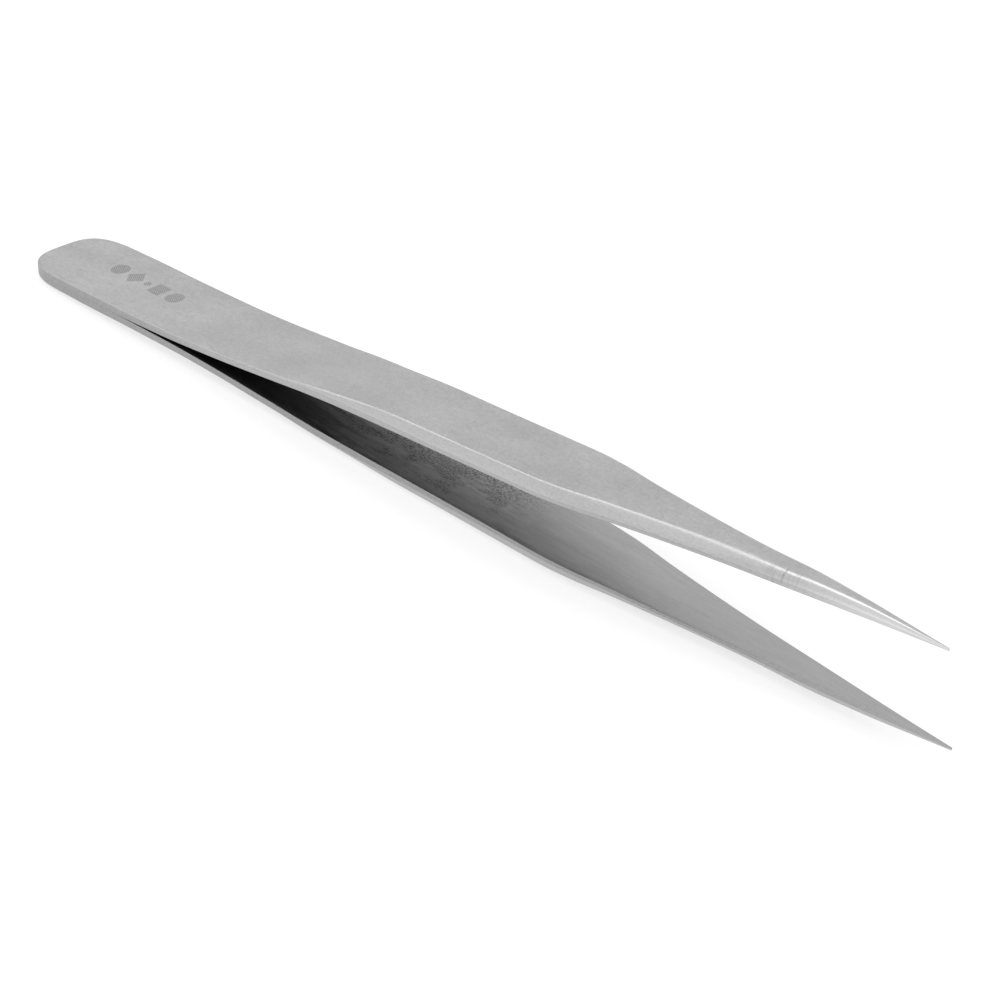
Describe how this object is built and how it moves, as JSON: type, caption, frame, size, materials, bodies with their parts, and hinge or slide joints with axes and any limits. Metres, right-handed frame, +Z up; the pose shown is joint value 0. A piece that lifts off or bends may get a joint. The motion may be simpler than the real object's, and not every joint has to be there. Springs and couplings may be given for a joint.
{
  "type": "precision tweezers",
  "caption": "Fine-pointed steel tweezers: sprung flat arms welded at the heel, bevelled grips that taper to needle points.",
  "frame": {"origin": "centre of the bounding box's underside, on the surface that the open tweezers lie on", "axes": "+X along the tool from the heel to the points, +Y across the width of the arms, +Z up through the gap from the lower arm to the upper arm"},
  "size_m": [0.1402, 0.0108, 0.013],
  "materials": {
    "arm_steel": "satin",
    "weld_steel": "as welded"
  },
  "bodies": {
    "heel": {"upper_arm_root": "arm_steel", "lower_arm_root": "arm_steel", "heel_welds": "weld_steel"},
    "upper_arm": {"upper_arm_blade": "arm_steel"},
    "lower_arm": {"lower_arm_blade": "arm_steel"}
  },
  "joints": [
    {"name": "upper_arm_flex", "type": "hinge", "parent": "heel", "child": "upper_arm", "pos_m": [-0.0361, 0, 0.00311], "axis": [0, 1, 0], "range_deg": [0, 2.71], "stiffness_Nm_per_rad": 2.7},
    {"name": "lower_arm_flex", "type": "hinge", "parent": "heel", "child": "lower_arm", "pos_m": [-0.03604, 0, 0.00181], "axis": [0, -1, 0], "range_deg": [0, 2.71], "stiffness_Nm_per_rad": 2.7}
  ],
  "couplings": [
    {"joint": "lower_arm_flex", "follows": "upper_arm_flex", "ratio": 1}
  ]
}
